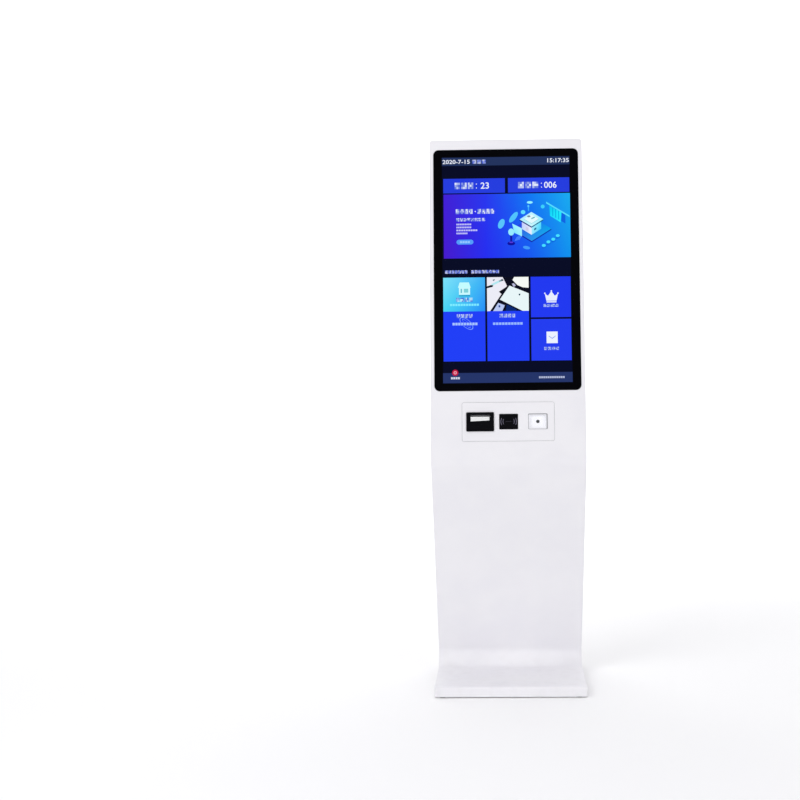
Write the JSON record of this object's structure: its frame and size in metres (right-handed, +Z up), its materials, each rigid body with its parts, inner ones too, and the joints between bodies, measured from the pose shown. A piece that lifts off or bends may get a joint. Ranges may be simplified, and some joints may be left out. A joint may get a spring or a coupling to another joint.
{
  "type": "ticket vending machine",
  "caption": "Free-standing queue ticket kiosk: leaning head with a large portrait touch screen, ticket printer, card reader and code scanner, on a slanted column and flat foot.",
  "frame": {"origin": "on the floor, in the middle of the machine's width and depth", "axes": "+Z up, -Y towards the person at the screen, +X to that person's right"},
  "size_m": [0.47, 0.4339, 1.72],
  "materials": {
    "white_powder_coat": "satin",
    "zinc_steel": "satin",
    "bright_steel": "polished",
    "black_glass": "gloss",
    "clear_glass": "gloss",
    "black_plastic": "satin",
    "grey_plastic": "matte",
    "clear_plastic": "gloss",
    "circuit_board": "satin",
    "black_rubber": "matte",
    "paper": "matte",
    "foam_tape": "matte",
    "aluminium": "satin",
    "brass": "satin",
    "lead_jacket": "satin"
  },
  "bodies": {
    "cabinet": {"front_skin": "white_powder_coat", "side_panel_left": "white_powder_coat", "side_panel_right": "white_powder_coat", "top_cap": "white_powder_coat", "rear_skin": "white_powder_coat", "base_plate": "zinc_steel", "foot_pads": "black_rubber", "cable_grommet": "black_rubber", "frame_post_left": "zinc_steel", "frame_post_right": "zinc_steel", "cross_rails": "zinc_steel", "screen_ledge": "zinc_steel", "glass_tape": "foam_tape", "touch_glass": "black_glass", "lcd_bezel": "aluminium", "lcd_cell": "black_glass", "light_guide": "clear_plastic", "lcd_chassis": "zinc_steel", "display_rails": "zinc_steel", "display_board": "circuit_board", "mini_pc": "aluminium", "power_supply": "zinc_steel", "socket_strip": "grey_plastic", "fan_frame": "black_plastic", "fan_guard": "bright_steel", "speakers": "black_plastic", "module_plate": "white_powder_coat", "module_frame": "zinc_steel", "printer_bezel": "black_plastic", "printer_frame": "zinc_steel", "thermal_head": "aluminium", "feed_motor": "bright_steel", "roll_cradle": "zinc_steel", "paper_web": "paper", "reader_window": "black_plastic", "reader_case": "black_plastic", "scanner_bezel": "grey_plastic", "scanner_window": "clear_glass", "scanner_tray": "white_powder_coat", "scan_engine": "black_plastic", "hinge_frame_leaves": "bright_steel", "mains_inlet": "black_plastic", "inner_leads": "lead_jacket"},
    "upper_door_body": {"upper_door": "white_powder_coat", "upper_door_leaves": "bright_steel", "upper_lock_barrel": "bright_steel"},
    "upper_lock": {"upper_lock_cam": "zinc_steel"},
    "lower_door_body": {"lower_door": "white_powder_coat", "lower_door_leaves": "bright_steel", "lower_lock_barrel": "bright_steel"},
    "lower_lock": {"lower_lock_cam": "zinc_steel"},
    "fan": {"fan_rotor": "black_plastic"},
    "computer_button": {"pc_button": "bright_steel"},
    "rocker": {"power_rocker": "black_plastic"},
    "ticket_slip": {"ticket": "paper"},
    "platen": {"platen_roller": "black_rubber", "platen_gear": "grey_plastic"},
    "pinion": {"motor_pinion": "brass"},
    "roll": {"paper_roll": "paper"},
    "cutter": {"cutter_blade": "bright_steel"}
  },
  "joints": [
    {"name": "upper_door_hinge", "type": "hinge", "parent": "cabinet", "child": "upper_door_body", "pos_m": [0.1895, -0.07261, 1.09273], "axis": [0, -0.1132, -0.9936], "range_deg": [0, 110]},
    {"name": "upper_lock_turn", "type": "hinge", "parent": "upper_door_body", "child": "upper_lock", "pos_m": [-0.165, -0.08732, 1.09441], "axis": [0, -0.9936, 0.1132], "range_deg": [0, 90]},
    {"name": "lower_door_hinge", "type": "hinge", "parent": "cabinet", "child": "lower_door_body", "pos_m": [0.1895, 0.06221, 0.38621], "axis": [0, 0.4384, -0.8988], "range_deg": [0, 110]},
    {"name": "lower_lock_turn", "type": "hinge", "parent": "lower_door_body", "child": "lower_lock", "pos_m": [-0.165, 0.04891, 0.37972], "axis": [0, -0.8988, -0.4384], "range_deg": [0, 90]},
    {"name": "fan_spin", "type": "hinge", "parent": "cabinet", "child": "fan", "pos_m": [0, -0.03689, 1.58121], "axis": [0, 0.9936, -0.1132], "continuous": true},
    {"name": "computer_button_press", "type": "slide", "parent": "cabinet", "child": "computer_button", "axis": [-1, 0, 0], "range_m": [0, 0.0015], "stiffness_N_per_m": 400, "springref_m": -0.001},
    {"name": "rocker_tip", "type": "hinge", "parent": "cabinet", "child": "rocker", "pos_m": [0.154, 0.16925, 0.15581], "axis": [-1, 0, 0], "range_deg": [0, 16]},
    {"name": "ticket_pull", "type": "slide", "parent": "cabinet", "child": "ticket_slip", "axis": [0, -0.9936, 0.1132], "range_m": [0, 0.03]},
    {"name": "platen_turn", "type": "hinge", "parent": "cabinet", "child": "platen", "pos_m": [-0.0851, -0.1821, 0.86325], "axis": [1, 0, 0], "continuous": true},
    {"name": "pinion_turn", "type": "hinge", "parent": "cabinet", "child": "pinion", "pos_m": [-0.0851, -0.16769, 0.85607], "axis": [1, 0, 0], "continuous": true},
    {"name": "roll_turn", "type": "hinge", "parent": "cabinet", "child": "roll", "pos_m": [-0.0851, -0.16629, 0.77228], "axis": [1, 0, 0], "continuous": true},
    {"name": "cutter_lift", "type": "slide", "parent": "cabinet", "child": "cutter", "axis": [0, 0.1132, 0.9936], "range_m": [0, 0.0045]}
  ],
  "couplings": [
    {"joint": "platen_turn", "follows": "roll_turn", "ratio": 4.8333},
    {"joint": "pinion_turn", "follows": "roll_turn", "ratio": -8.0556}
  ]
}
